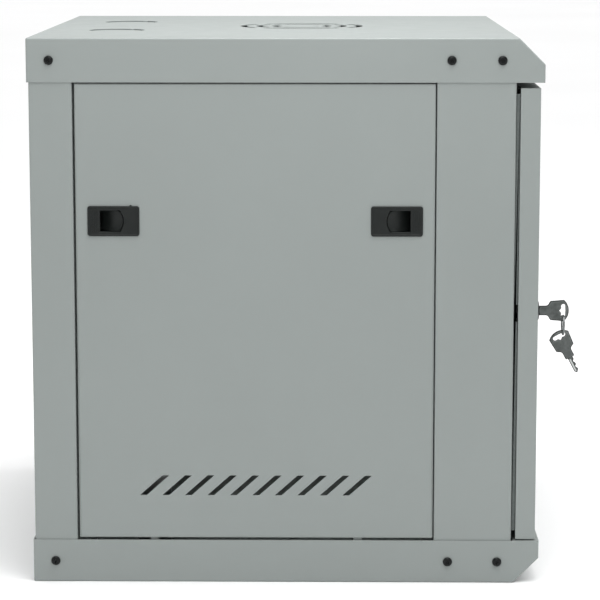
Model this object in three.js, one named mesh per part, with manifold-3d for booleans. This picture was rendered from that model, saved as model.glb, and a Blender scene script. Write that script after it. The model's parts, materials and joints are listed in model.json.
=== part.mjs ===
// A wall-mount 19-inch network cabinet, twelve units high: two folded sheet-steel trays (cover and
// base), a rear panel with side wings, a front frame, lift-out side panels with slide latches, a
// glazed door with a cam lock and its keys, and four mounting rails with square holes.
//
// Millimetres, +Z up, the front faces -Y, +X to the right of someone facing the front. The origin
// is on the underside, in the middle of the base tray. Many depths are given from the rear face of
// the trays, because the sheet metal is set out from there: fromRear(u) turns one into Y.

import * as THREE from "three";
import { mergeVertices } from "three/addons/utils/BufferGeometryUtils.js";
import Module from "manifold-3d";

const wasm = await Module();
wasm.setup();

// ---------------------------------------------------------------- driving dimensions

const WIDTH = 600;
const DEPTH = 595;
const HEIGHT = 640;
const SHEET = 1.2; // steel of the trays, the frame and the door
const CLEAR = 0.3; // gap left between pieces that touch
const BAND = 50.8; // height of a tray's skirt
const BEVEL = 30; // the 45 degree bevel along a tray's nose
const BODY_SIDE = WIDTH / 2 - SHEET - CLEAR; // outer face of the wings, posts and side panels
const BODY_REAR = 2.2; // outer face of the rear panel, from the rear

const LEDGE = 285; // the ledge that a side panel's flanges rest on, from the middle
const WING_END = 52.4; // front edge of the rear panel's wing
const POST_START = 471.2; // rear edge of a front post's side
const POST_FRONT = 562.5;
const POST_INNER = 253.8; // a front post's face towards the rack space, from the middle

const PANEL_SHEET = 1.0;
const PANEL_REAR = 54.8;
const PANEL_FRONT = 470;
const PANEL_BOTTOM = BAND + 2.4;
const PANEL_TOP = HEIGHT - BAND - 1.2;

const DOOR_BACK = 567.5;
const DOOR_THICK = 23;
const DOOR_SIDE = 297.5;
const DOOR_BOTTOM = 52.2;
const DOOR_TOP = 582.7;
const HINGE_X = 288;
const LOCK_X = -272;
const LOCK_Z = 320.9;

const UNIT = 44.45; // one rack unit
const UNITS = 12;
const HOLE_PITCH_X = 465.1; // between the two columns of square holes
const SQUARE_HOLE = 9.5;

const fromRear = (u) => DEPTH / 2 - u;
const DOOR_FRONT_Y = fromRear(DOOR_BACK + DOOR_THICK);
const MIDDLE_Z = HEIGHT / 2;

// ---------------------------------------------------------------- materials

const paint = (color, roughness, metalness) =>
  new THREE.MeshStandardMaterial({ color, roughness, metalness });
const MATERIALS = {
  grey: () => paint(0x9ba3a0, 0.5, 0.1),
  zinc: () => paint(0xb9bcbc, 0.4, 0.9),
  blackPlastic: () => paint(0x1b1f1e, 0.45, 0.0),
  blackScrew: () => paint(0x14171a, 0.4, 0.6),
  rubber: () => paint(0x101112, 0.8, 0.0),
  foam: () => paint(0x848c89, 0.9, 0.0),
  nickel: () => paint(0x8d9390, 0.3, 1.0),
  glass: () =>
    new THREE.MeshStandardMaterial({ color: 0x59625f, roughness: 0.05, transparent: true, opacity: 0.4 }),
};

// ---------------------------------------------------------------- solids

// A closed geometry as a manifold-3d solid, with only its positions left and its vertices merged.
function solid(geometry) {
  const bare = new THREE.BufferGeometry().setAttribute("position", geometry.getAttribute("position"));
  bare.setIndex(geometry.index);
  const merged = mergeVertices(bare, 1e-4);
  return new wasm.Manifold(
    new wasm.Mesh({
      numProp: 3,
      vertProperties: merged.attributes.position.array,
      triVerts: new Uint32Array(merged.index.array),
    }),
  );
}

function geometryOf(made) {
  const mesh = made.getMesh();
  const geometry = new THREE.BufferGeometry();
  geometry.setAttribute("position", new THREE.BufferAttribute(mesh.vertProperties, 3));
  geometry.setIndex(new THREE.BufferAttribute(mesh.triVerts, 1));
  geometry.computeVertexNormals();
  return geometry;
}

const joined = (...parts) => parts.flat().reduce((whole, next) => whole.add(next));
const cut = (whole, ...tools) => tools.flat().reduce((left, tool) => left.subtract(tool), whole);

// A box from one corner to the other, in any order of each pair.
function block([x0, x1], [y0, y1], [z0, z1]) {
  const size = [x1 - x0, y1 - y0, z1 - z0].map(Math.abs);
  const box = new THREE.BoxGeometry(...size);
  return solid(box.translate((x0 + x1) / 2, (y0 + y1) / 2, (z0 + z1) / 2));
}

// An outline extruded along one axis, from low to high. Its points are (x, y) for axis z,
// (y, z) for axis x and (x, z) for axis y.
function prism(axis, points, low, high) {
  const shape = new THREE.Shape(points.map(([p, q]) => new THREE.Vector2(p, q)));
  const geometry = new THREE.ExtrudeGeometry(shape, { depth: high - low, bevelEnabled: false });
  const [ex, ey, ez] = [
    new THREE.Vector3(1, 0, 0),
    new THREE.Vector3(0, 1, 0),
    new THREE.Vector3(0, 0, 1),
  ];
  const place = new THREE.Matrix4();
  if (axis === "z") place.makeBasis(ex, ey, ez).setPosition(0, 0, low);
  if (axis === "x") place.makeBasis(ey, ez, ex).setPosition(low, 0, 0);
  if (axis === "y") place.makeBasis(ex, ez, ey.clone().negate()).setPosition(0, high, 0);
  return solid(geometry.applyMatrix4(place));
}

// Points on an arc, in degrees, both ends included.
function arc(cx, cy, radius, from, to, steps) {
  return Array.from({ length: steps + 1 }, (_, i) => {
    const angle = THREE.MathUtils.degToRad(from + ((to - from) * i) / steps);
    return [cx + radius * Math.cos(angle), cy + radius * Math.sin(angle)];
  });
}

const circle = (cx, cy, radius, sides) => arc(cx, cy, radius, 0, 360, sides).slice(0, -1);
const hexagon = (cx, cy, radius) => circle(cx, cy, radius, 6);

// A rectangle about a centre, with rounded corners.
function roundedRectangle(cx, cy, width, height, radius, steps = 3) {
  const [w, h] = [width / 2 - radius, height / 2 - radius];
  return [
    ...arc(cx + w, cy + h, radius, 0, 90, steps),
    ...arc(cx - w, cy + h, radius, 90, 180, steps),
    ...arc(cx - w, cy - h, radius, 180, 270, steps),
    ...arc(cx + w, cy - h, radius, 270, 360, steps),
  ];
}

// A slot with round ends, its length along the first coordinate.
function longSlot(cx, cy, length, width) {
  const reach = (length - width) / 2;
  return [
    ...arc(cx + reach, cy, width / 2, -90, 90, 4),
    ...arc(cx - reach, cy, width / 2, 90, 270, 4),
  ];
}

// The closed outline of a folded sheet: the path follows one face, the thickness lies to its left,
// and each fold is an arc whose inner radius is about the sheet's own thickness.
function foldedSheet(path, thickness, innerRadius = 1.0) {
  const points = path.map(([x, y]) => new THREE.Vector2(x, y));
  const face = [];
  const back = [];
  const normal = (d) => new THREE.Vector2(-d.y, d.x);
  const direction = (i) => points[i + 1].clone().sub(points[i]).normalize();
  points.forEach((point, i) => {
    if (i === 0 || i === points.length - 1) {
      const along = direction(i === 0 ? 0 : i - 1);
      face.push(point.clone());
      back.push(point.clone().addScaledVector(normal(along), thickness));
      return;
    }
    const [d1, d2] = [direction(i - 1), direction(i)];
    const turn = Math.sign(d1.cross(d2));
    const angle = Math.acos(THREE.MathUtils.clamp(d1.dot(d2), -1, 1));
    const faceRadius = turn > 0 ? innerRadius + thickness : innerRadius;
    const backRadius = turn > 0 ? innerRadius : innerRadius + thickness;
    const start = point.clone().addScaledVector(d1, -faceRadius * Math.tan(angle / 2));
    const centre = start.clone().addScaledVector(normal(d1), turn * faceRadius);
    const steps = 2;
    for (let k = 0; k <= steps; k++) {
      const spoke = normal(d1).multiplyScalar(-turn);
      spoke.rotateAround(new THREE.Vector2(), (turn * angle * k) / steps);
      face.push(centre.clone().addScaledVector(spoke, faceRadius));
      back.push(centre.clone().addScaledVector(spoke, backRadius));
    }
  });
  return [...face, ...back.reverse()].map((p) => [p.x, p.y]);
}

// A profile of [radius, distance] pairs turned about an axis through (x, z) that runs along -Y, so
// that distance grows outwards from y.
function turnedOutwards(profile, x, y, z, sides) {
  const points = profile.map(([r, s]) => new THREE.Vector2(r, s));
  const lathe = new THREE.LatheGeometry(points, sides);
  return solid(lathe.rotateX(Math.PI).translate(x, y, z));
}

// ---------------------------------------------------------------- the scene graph

const cabinet = new THREE.Group();

function add(name, made, material) {
  const mesh = new THREE.Mesh(geometryOf(made), MATERIALS[material]());
  mesh.name = name;
  cabinet.add(mesh);
  return mesh;
}

// ---------------------------------------------------------------- trays

const SCREWS_FROM_REAR = [26.2, 487.9, 545.9];
const SCREW_HOLE = 3.4;
const TRAY_RETURN = 564.5; // how far back the nose's return flange reaches

const VENT_FROM_REAR = 312.8;
const VENT_RINGS = [
  { inner: 30, outer: 38, rib: 5 },
  { inner: 49.5, outer: 57.5, rib: 5 },
  { inner: 69, outer: 77.5, rib: 16 },
];

const KNOCKOUT_FROM_REAR = 88.6;
const KNOCKOUT_X = 111;
const KNOCKOUT_RADIUS = 34;
const KNOCKOUT_SLIT = 2.4;
const KNOCKOUT_SINK = 1.2; // how far the blank is pressed below the sheet's face
const KNOCKOUT_TAB_SINK = 0.2;

// Four arc slots in a ring, with a rib of the given width at each diagonal.
function ventRing({ inner, outer, rib }) {
  const y = fromRear(VENT_FROM_REAR);
  const half = THREE.MathUtils.radToDeg(Math.asin(rib / (inner + outer)));
  return [0, 90, 180, 270].map((middle) => {
    const [from, to] = [middle - 45 + half, middle + 45 - half];
    const outline = [...arc(0, y, outer, from, to, 5), ...arc(0, y, inner, to, from, 5)];
    return prism("z", outline, -1, SHEET + 1);
  });
}

// A round cable blank, still held by two narrow tabs and pressed a little below the face.
function knockoutBlank(x) {
  const y = fromRear(KNOCKOUT_FROM_REAR);
  const disc = circle(x, y, KNOCKOUT_RADIUS - KNOCKOUT_SLIT, 20);
  const bridge = roundedRectangle(0, 0, 2 * KNOCKOUT_RADIUS + 4, 5, 0.5, 1).map(([p, q]) => {
    const turned = new THREE.Vector2(p, q).rotateAround(new THREE.Vector2(), Math.PI / 6);
    return [x + turned.x, y + turned.y];
  });
  return joined(
    prism("z", disc, KNOCKOUT_SINK, KNOCKOUT_SINK + SHEET),
    prism("z", bridge, KNOCKOUT_TAB_SINK, KNOCKOUT_SINK + 0.3),
  );
}

// The base tray; the cover is the same pressing, turned over.
function tray() {
  const half = DEPTH / 2;
  const mitre = SHEET * (Math.SQRT2 - 1);
  const nose = -half + SHEET;
  const returnEdge = fromRear(TRAY_RETURN);
  const outside = [
    [half, 0],
    [half, BAND],
    [-half, BAND],
    [-half, BEVEL],
    [-half + BEVEL, 0],
  ];
  const inside = [
    [half - SHEET, SHEET],
    [half - SHEET, BAND + 1],
    [returnEdge, BAND + 1],
    [returnEdge, BAND - SHEET],
    [nose, BAND - SHEET],
    [nose, BEVEL + mitre],
    [-half + BEVEL + mitre, SHEET],
  ];
  const shell = cut(
    prism("x", outside, -WIDTH / 2, WIDTH / 2),
    prism("x", inside, -WIDTH / 2 + SHEET, WIDTH / 2 - SHEET),
  );
  const screwHoles = SCREWS_FROM_REAR.map((u) =>
    prism("x", circle(fromRear(u), BAND / 2, SCREW_HOLE, 8), -WIDTH, WIDTH),
  );
  const pinHoles = [-HINGE_X, HINGE_X].map((x) =>
    prism("z", circle(x, fromRear(DOOR_BACK + DOOR_THICK / 2), 3.5, 16), BAND - 3, BAND + 1),
  );
  const knockouts = [-KNOCKOUT_X, KNOCKOUT_X];
  const openings = knockouts.map((x) =>
    prism("z", circle(x, fromRear(KNOCKOUT_FROM_REAR), KNOCKOUT_RADIUS, 20), -1, SHEET + 1),
  );
  const pierced = cut(shell, screwHoles, pinHoles, VENT_RINGS.map(ventRing).flat(), openings);
  return joined(pierced, knockouts.map(knockoutBlank));
}

add("bottom_tray", tray(), "grey");
const topTray = add("top_tray", tray(), "grey");
topTray.rotation.y = Math.PI;
topTray.position.z = HEIGHT;

// ---------------------------------------------------------------- rear panel

const KEYHOLE_X = 225;
const KEYHOLE_HEIGHTS = [90, 535];
const KEYHOLE_HEAD = 7;
const KEYHOLE_SLOT = 3.5;

function keyhole(x, z) {
  const side = THREE.MathUtils.radToDeg(Math.asin(KEYHOLE_SLOT / KEYHOLE_HEAD));
  const outline = [
    ...arc(x, z, KEYHOLE_HEAD, 90 + side, 450 - side, 10),
    ...arc(x, z + 15, KEYHOLE_SLOT, 0, 180, 4),
  ];
  return prism("y", outline, fromRear(20), fromRear(-5));
}

function rearPanel() {
  const half = [
    [-LEDGE, WING_END + 13.6],
    [-LEDGE, WING_END],
    [-BODY_SIDE, WING_END],
    [-BODY_SIDE, BODY_REAR],
  ];
  const path = [...half, ...half.map(([x, u]) => [-x, u]).reverse()];
  const outline = foldedSheet(path, SHEET).map(([x, u]) => [x, fromRear(u)]);
  const ends = [SHEET + CLEAR, HEIGHT - SHEET - CLEAR];
  const keyholes = [-KEYHOLE_X, KEYHOLE_X].flatMap((x) => KEYHOLE_HEIGHTS.map((z) => keyhole(x, z)));
  const screwHoles = [BAND / 2, HEIGHT - BAND / 2].map((z) =>
    prism("x", circle(fromRear(SCREWS_FROM_REAR[0]), z, SCREW_HOLE, 8), -WIDTH, WIDTH),
  );
  return cut(prism("z", outline, ...ends), keyholes, screwHoles);
}

add("rear_panel", rearPanel(), "grey");

// ---------------------------------------------------------------- front frame

const LOCK_SLOT = { width: 24, above: 13, below: 30 };
const STRIP = { x: [-294.5, -288.5], bottom: 62, top: 576, notch: 10, backing: 0.8 };

function frontPost(side) {
  const path = [
    [side * POST_INNER, POST_FRONT - 17.5],
    [side * POST_INNER, POST_FRONT],
    [side * BODY_SIDE, POST_FRONT],
    [side * BODY_SIDE, POST_START],
    [side * LEDGE, POST_START],
    [side * LEDGE, POST_START - 12.2],
  ];
  if (side > 0) path.reverse();
  const outline = foldedSheet(path, SHEET).map(([x, u]) => [x, fromRear(u)]);
  const post = prism("z", outline, SHEET + CLEAR, HEIGHT - SHEET - CLEAR);
  const skin = [side * BODY_SIDE - 5, side * BODY_SIDE + 5];
  const screwHoles = [BAND / 2, HEIGHT - BAND / 2].flatMap((z) =>
    SCREWS_FROM_REAR.slice(1).map((u) => prism("x", circle(fromRear(u), z, SCREW_HOLE, 8), ...skin)),
  );
  if (side > 0) return cut(post, screwHoles);
  const { width, above, below } = LOCK_SLOT;
  const slot = block(
    [LOCK_X - width / 2, LOCK_X + width / 2],
    [fromRear(POST_FRONT + 3), fromRear(POST_FRONT - 5)],
    [LOCK_Z - below, LOCK_Z + above],
  );
  return cut(post, screwHoles, slot);
}

// A foam strip stuck to the lock side's post, which the shut door lies against. It is cut down to
// its backing beside the lock.
function bufferStrip() {
  const [back, face] = [POST_FRONT + CLEAR, DOOR_BACK - CLEAR];
  return cut(
    block(STRIP.x, [fromRear(face), fromRear(back)], [STRIP.bottom, STRIP.top]),
    block(
      STRIP.x.map((x, i) => x + (i ? 1 : -1)),
      [fromRear(face + 1), fromRear(back + STRIP.backing)],
      [LOCK_Z - STRIP.notch, LOCK_Z + STRIP.notch],
    ),
  );
}

// The cross rail that joins the posts at the top; the one at the bottom is its mirror image.
function crossRail() {
  const path = [
    [POST_FRONT - 17.5, HEIGHT - BAND - 0.8],
    [POST_FRONT, HEIGHT - BAND - 0.8],
    [POST_FRONT, HEIGHT - 2],
  ];
  const outline = foldedSheet(path, SHEET).map(([u, z]) => [fromRear(u), z]);
  const end = POST_INNER - CLEAR;
  return prism("x", outline, -end, end);
}

add("front_post_left", frontPost(-1), "grey");
add("front_post_right", frontPost(1), "grey");
add("front_header", crossRail(), "grey");
const sill = add("front_sill", crossRail(), "grey");
sill.scale.z = -1;
sill.position.z = HEIGHT;
add("door_buffer_strip", bufferStrip(), "foam");

// ---------------------------------------------------------------- depth rails and mounting rails

const RAIL_SHEET = 1.6;
const RAIL_OUTER = 251.6; // outer face of a mounting rail's web, from the middle
const RAIL_INNER = 225.5;
const RAIL_WEB = 40;
const RAIL_ENDS = [22, HEIGHT - 22];
const FRONT_RAIL = 505; // mounting face of the front pair, from the rear
const REAR_RAIL = 120;
const DEPTH_RAIL_HEIGHT = 30;
const DEPTH_RAIL_LEVELS = { bottom: 72, top: HEIGHT - 72 };
const BOLT_RADIUS = 3;

// A horizontal bar from the rear panel to the front post, slotted so that the mounting rails can
// be set nearer or further.
function depthRail(side, level) {
  const inner = RAIL_OUTER + CLEAR;
  const [z0, z1] = [level - DEPTH_RAIL_HEIGHT / 2, level + DEPTH_RAIL_HEIGHT / 2];
  const shelf = level < MIDDLE_Z ? [z0, z0 + RAIL_SHEET] : [z1 - RAIL_SHEET, z1];
  const rear = BODY_REAR + SHEET + CLEAR;
  const span = (a, b) => [side * a, side * b];
  const bar = joined(
    block(span(inner, inner + RAIL_SHEET), [fromRear(rear), fromRear(POST_FRONT - 1.5)], [z0, z1]),
    block(span(inner, inner + 16), [fromRear(rear), fromRear(POST_FRONT - 22)], shelf),
    block(span(inner, inner + 22), [fromRear(rear), fromRear(rear + RAIL_SHEET)], [z0, z1]),
  );
  const slots = [
    { from: 50, to: 240 },
    { from: 255, to: 445 },
    { from: 460, to: 520 },
  ].map(({ from, to }) => {
    const outline = longSlot(fromRear((from + to) / 2), level, to - from, 7);
    return prism("x", outline, side * inner - 5, side * inner + 5);
  });
  return cut(bar, slots);
}

// A mounting rail: facing is 1 where its mounting face looks forwards and -1 where it looks back.
function mountingRail(side, face, facing) {
  const corners = [
    [RAIL_INNER, face],
    [RAIL_OUTER, face],
    [RAIL_OUTER, face - facing * RAIL_WEB],
    [RAIL_OUTER - 12, face - facing * RAIL_WEB],
  ].map(([x, u]) => [side * x, fromRear(u)]);
  if (side * facing < 0) corners.reverse();
  const rail = prism("z", foldedSheet(corners, RAIL_SHEET), ...RAIL_ENDS);
  const firstUnit = MIDDLE_Z - (UNITS * UNIT) / 2;
  const heights = Array.from({ length: UNITS }, (_, n) => firstUnit + n * UNIT).flatMap((z) =>
    [UNIT / 7, UNIT / 2, (UNIT * 6) / 7].map((step) => z + step),
  );
  const x = (side * HOLE_PITCH_X) / 2;
  const [xs, ys] = [
    [x - SQUARE_HOLE / 2, x + SQUARE_HOLE / 2],
    [fromRear(face) - 4, fromRear(face) + 4],
  ];
  const squares = heights.map((z) => block(xs, ys, [z - SQUARE_HOLE / 2, z + SQUARE_HOLE / 2]));
  const boltHoles = Object.values(DEPTH_RAIL_LEVELS).map((z) => {
    const outline = circle(fromRear(face - facing * (RAIL_WEB / 2)), z, BOLT_RADIUS + 0.4, 8);
    return prism("x", outline, side * RAIL_OUTER - 4, side * RAIL_OUTER + 4);
  });
  return cut(rail, squares, boltHoles);
}

// The bolt that clamps a mounting rail to a depth rail, with its flange nut run on.
function railBolt(side, y, z) {
  const head = RAIL_OUTER - RAIL_SHEET - CLEAR;
  const nut = RAIL_OUTER + 2 * CLEAR + RAIL_SHEET;
  const along = (a, b) => [side * a, side * b].sort((p, q) => p - q);
  return joined(
    prism("x", circle(y, z, BOLT_RADIUS, 8), ...along(head - 1, nut + 7)),
    prism("x", hexagon(y, z, 5.8), ...along(head - 4, head)),
    prism("x", hexagon(y, z, 5.8), ...along(nut, nut + 5)),
  );
}

for (const [where, side] of [["left", -1], ["right", 1]]) {
  for (const [level, z] of Object.entries(DEPTH_RAIL_LEVELS)) {
    add(`depth_rail_${level}_${where}`, depthRail(side, z), "grey");
  }
  for (const [end, face, facing] of [["front", FRONT_RAIL, 1], ["rear", REAR_RAIL, -1]]) {
    add(`${end}_mounting_rail_${where}`, mountingRail(side, face, facing), "zinc");
    for (const [level, z] of Object.entries(DEPTH_RAIL_LEVELS)) {
      const y = fromRear(face - facing * (RAIL_WEB / 2));
      add(`${end}_rail_bolt_${level}_${where}`, railBolt(side, y, z), "zinc");
    }
  }
}

// ---------------------------------------------------------------- body screws and earth stud

// A pan-head screw along X whose head stands on the tray's skirt.
function bodyScrew() {
  const [seat, rise, length] = [CLEAR, 3.3, 12];
  const profile = [
    [0, seat - length],
    [2.9, seat - length],
    [2.9, seat],
    [5.4, seat],
    [4.3, seat + rise - 0.8],
    [0, seat + rise],
  ].map(([r, h]) => new THREE.Vector2(r, h));
  const turned = solid(new THREE.LatheGeometry(profile, 10).rotateZ(-Math.PI / 2));
  const [high, low] = [seat + rise + 1, seat + rise - 1.8];
  const cross = joined(
    block([low, high], [-2.6, 2.6], [-0.6, 0.6]),
    block([low, high], [-0.6, 0.6], [-2.6, 2.6]),
  );
  return cut(turned, cross);
}

const SCREW_NAMES = ["rear", "mid", "front"];
for (const [where, side] of [["left", -1], ["right", 1]]) {
  for (const [level, z] of [["bottom", BAND / 2], ["top", HEIGHT - BAND / 2]]) {
    SCREWS_FROM_REAR.forEach((u, i) => {
      const screw = add(`screw_${level}_${SCREW_NAMES[i]}_${where}`, bodyScrew(), "blackScrew");
      screw.position.set((side * WIDTH) / 2, fromRear(u), z);
      if (side < 0) screw.rotation.z = Math.PI;
    });
  }
}

function earthStud() {
  const [x, y, foot] = [200, fromRear(60), SHEET + CLEAR];
  return joined(
    prism("z", circle(x, y, 3, 12), foot, foot + 20),
    prism("z", circle(x, y, 7, 16), foot, foot + 1.6),
    prism("z", hexagon(x, y, 5.8), foot + 1.4, foot + 6.5),
  );
}

add("earth_stud", earthStud(), "zinc");

// ---------------------------------------------------------------- side panels and their latches

const VENT_SLOTS = { count: 10, pitch: 26.4, width: 7.8, rise: 23.7, lean: 26.5, z: 116.4 };
const LATCH = { width: 60, height: 35, z: 429, fromEdge: 43.8, depth: 19, wall: 1.5 };
const LATCH_TRAVEL = 7.5;
const FINGER_WINDOW = { from: -10, to: 16, half: 12.4 };
const LOCATING_TABS = [143, 382];

// Everything on a side panel is set out on the left side and turned half round for the right, so
// the two panels are the same part.
const PANEL_MIDDLE = (PANEL_REAR + PANEL_FRONT) / 2;
const LATCH_PLACES = {
  rear: { u: PANEL_REAR + LATCH.fromEdge, outwards: -1 },
  front: { u: PANEL_FRONT - LATCH.fromEdge, outwards: 1 },
};

function ventSlot(index) {
  const { count, pitch, width, rise, lean, z } = VENT_SLOTS;
  const middle = fromRear(PANEL_MIDDLE + (index - (count - 1) / 2) * pitch);
  // The slot leans towards the front as it rises; its ends are level.
  const corner = (side, end) => [middle - (end * lean) / 2 + (side * width) / 2, z + (end * rise) / 2];
  const outline = [corner(-1, -1), corner(1, -1), corner(1, 1), corner(-1, 1)];
  return prism("x", outline, -BODY_SIDE - 5, -BODY_SIDE + 5);
}

function sidePanel() {
  const [y0, y1] = [fromRear(PANEL_REAR), fromRear(PANEL_FRONT)];
  const [t, flange] = [PANEL_SHEET, BODY_SIDE - LEDGE - CLEAR];
  const outside = block([-BODY_SIDE, -BODY_SIDE + flange], [y0, y1], [PANEL_BOTTOM, PANEL_TOP]);
  const inside = block(
    [-BODY_SIDE + t, -BODY_SIDE + flange + 1],
    [y0 - t, y1 + t],
    [PANEL_BOTTOM + t, PANEL_TOP - t],
  );
  const slots = Array.from({ length: VENT_SLOTS.count }, (_, i) => ventSlot(i));
  const latchHoles = Object.values(LATCH_PLACES).map(({ u }) =>
    block(
      [-BODY_SIDE - 5, -BODY_SIDE + 5],
      [fromRear(u) - LATCH.width / 2 + 2, fromRear(u) + LATCH.width / 2 - 2],
      [LATCH.z - LATCH.height / 2 + 2, LATCH.z + LATCH.height / 2 - 2],
    ),
  );
  const tabs = LOCATING_TABS.map((u) =>
    block(
      [-BODY_SIDE + 2.2, -BODY_SIDE + 3.4],
      [fromRear(u) - 5, fromRear(u) + 5],
      [PANEL_BOTTOM - 8.6, PANEL_BOTTOM + 0.5],
    ),
  );
  return joined(cut(outside, inside, slots, latchHoles), tabs);
}

// A latch is set out about its own centre: a runs outwards to the panel's nearest upright edge,
// and c runs inwards from the panel's face.
function latchBlock({ u, outwards }, [a0, a1], half, [c0, c1]) {
  const y = fromRear(u);
  return block(
    [-BODY_SIDE + c0, -BODY_SIDE + c1],
    [y - outwards * a0, y - outwards * a1],
    [LATCH.z - half, LATCH.z + half],
  );
}

function latchHousing(place) {
  const { width, height, z, depth, wall } = LATCH;
  const box = (a, half, c) => latchBlock(place, a, half, c);
  const bezelOutline = roundedRectangle(fromRear(place.u), z, width, height, 3, 2);
  const end = width / 2 - 2.3;
  const half = height / 2 - 2.3;
  const { from, to, half: windowHalf } = FINGER_WINDOW;
  return cut(
    joined(
      prism("x", bezelOutline, -BODY_SIDE - 2.1, -BODY_SIDE - CLEAR),
      box([-end, end], half, [-1, depth]),
    ),
    box([-end + wall, end - wall], half - 2.3, [wall, depth - wall]),
    box([from, to], windowHalf, [-4, wall + 1]),
    box([end - 3, end + 1], 9.4, [14.6, depth - wall]),
  );
}

// The pad slopes down and outwards, so that a fingertip has something to push against.
const PAD = [[-9.6, 0.8], [-4, 2.8], [2, 5.8], [8, 9.4], [13, 13.2], [15, 15.4], [-9.6, 15.4]];

function latchSlider(place) {
  const { u, outwards } = place;
  const pad = PAD.map(([a, c]) => [-BODY_SIDE + c, fromRear(u) - outwards * a]);
  return joined(
    prism("z", pad, LATCH.z - 12, LATCH.z + 12),
    latchBlock(place, [-22, 17], 12.4, [15.2, 17.2]),
    latchBlock(place, [16, 31], 9, [15.2, 17.2]),
  );
}

for (const [where, turn] of [["left", 0], ["right", Math.PI]]) {
  // The half turn is about the upright through the panel openings' middle.
  const group = new THREE.Group();
  group.rotation.z = turn;
  if (turn) group.position.y = 2 * fromRear(PANEL_MIDDLE);
  cabinet.add(group);
  group.add(add(`side_panel_${where}`, sidePanel(), "grey"));
  for (const [end, place] of Object.entries(LATCH_PLACES)) {
    const seen = turn ? { rear: "front", front: "rear" }[end] : end;
    group.add(add(`latch_housing_${seen}_${where}`, latchHousing(place), "blackPlastic"));
    group.add(add(`latch_slider_${seen}_${where}`, latchSlider(place), "blackPlastic"));
  }
}

// ---------------------------------------------------------------- door

const STILE = 52; // width of the frame beside the glass
const RAIL = 45; // and above and below it
const GLASS_LAP = 12;
const GLASS_THICK = 5;
const SEAL_THICK = 1;
const HINGE_Y = fromRear(DOOR_BACK + DOOR_THICK / 2);
const PIN = { radius: 3, collar: 5.5, beyond: 6, guide: 24, inner: 32 };

function doorFrame() {
  const back = fromRear(DOOR_BACK);
  const front = DOOR_FRONT_Y;
  const wide = (inset) => [-DOOR_SIDE + inset, DOOR_SIDE - inset];
  const tall = (inset) => [DOOR_BOTTOM + inset, DOOR_TOP - inset];
  const pinHoles = prism("z", circle(HINGE_X, HINGE_Y, 3.4, 16), DOOR_BOTTOM - 1, DOOR_TOP + 1);
  const barrelHole = (radius, y0, y1) => prism("y", circle(LOCK_X, LOCK_Z, radius, 20), y0, y1);
  const channel = cut(
    block(wide(0), [front, back], tall(0)),
    block(wide(SHEET), [front + SHEET, back - SHEET], tall(SHEET)),
    block(wide(STILE), [front - 1, front + 3], tall(RAIL)),
    block(wide(STILE - 6), [back - 3, back + 1], tall(15)),
  );
  // A plate across the channel guides each hinge pin's inner end.
  const guides = [DOOR_BOTTOM + PIN.guide, DOOR_TOP - PIN.guide - SHEET].map((z) =>
    block([HINGE_X - 10, DOOR_SIDE - 0.5], [front + 0.5, back - 0.5], [z, z + SHEET]),
  );
  return cut(
    joined(channel, guides),
    pinHoles,
    barrelHole(9.6, front - 1, front + 3),
    barrelHole(10, back - 3, back + 1),
  );
}

function paneBlock(inset, y0, y1) {
  const x = DOOR_SIDE - STILE + GLASS_LAP - inset;
  const z = [DOOR_BOTTOM + RAIL - GLASS_LAP + inset, DOOR_TOP - RAIL + GLASS_LAP - inset];
  return block([-x, x], [y0, y1], z);
}

function glassSeal() {
  const y0 = DOOR_FRONT_Y + SHEET + CLEAR;
  return cut(paneBlock(0.5, y0, y0 + SEAL_THICK), paneBlock(GLASS_LAP - 1.5, y0 - 1, y0 + 3));
}

function doorGlass() {
  const y0 = DOOR_FRONT_Y + SHEET + SEAL_THICK + 2 * CLEAR;
  return paneBlock(0, y0, y0 + GLASS_THICK);
}

// A hinge pin runs from inside the door, through its end and the gap beside it, into the tray's
// return flange. The lower one is fixed; the upper one is sprung, and its collar is the thumb
// piece that draws it down.
function hingePin({ end, inwards, gap, collar }) {
  const span = (a, b) => [end + inwards * a, end + inwards * b].sort((p, q) => p - q);
  return joined(
    prism("z", circle(HINGE_X, HINGE_Y, PIN.radius, 12), ...span(-gap - PIN.beyond, PIN.inner)),
    prism("z", circle(HINGE_X, HINGE_Y, PIN.collar, 12), ...span(collar, collar + 4)),
  );
}

add("door_frame", doorFrame(), "grey");
add("door_glass", doorGlass(), "glass");
add("glass_seal", glassSeal(), "rubber");
const lowerPin = { end: DOOR_BOTTOM, inwards: 1, gap: DOOR_BOTTOM - BAND, collar: 1.6 };
const upperPin = { end: DOOR_TOP, inwards: -1, gap: HEIGHT - BAND - DOOR_TOP, collar: 8 };
add("hinge_pin_bottom", hingePin(lowerPin), "zinc");
add("hinge_pin_top", hingePin(upperPin), "zinc");

// ---------------------------------------------------------------- lock

const BARREL_RADIUS = 9;
const PLUG_RADIUS = 5.4;
const TAIL_RADIUS = 4;
const BARREL_BACK = -33; // distances outwards from the door's front face
const BARREL_FACE = 2.7;
const PLUG_FACE = 3.0;
const CAM_THICK = 2;
const CAM_FRONT = BARREL_BACK - 2.4;
const CAM_LENGTH = 23.5;

const onLock = (profile, sides) => turnedOutwards(profile, LOCK_X, DOOR_FRONT_Y, LOCK_Z, sides);
const lockDepths = (s0, s1) => [DOOR_FRONT_Y - s1, DOOR_FRONT_Y - s0];

function lockHousing() {
  const bore = PLUG_RADIUS + CLEAR;
  const profile = [
    [bore, BARREL_BACK],
    [BARREL_RADIUS, BARREL_BACK],
    [BARREL_RADIUS, CLEAR],
    [12, CLEAR],
    [12, 1.6],
    [10.6, BARREL_FACE],
    [bore, BARREL_FACE],
    [bore, BARREL_BACK],
  ];
  return onLock(profile, 20);
}

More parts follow.
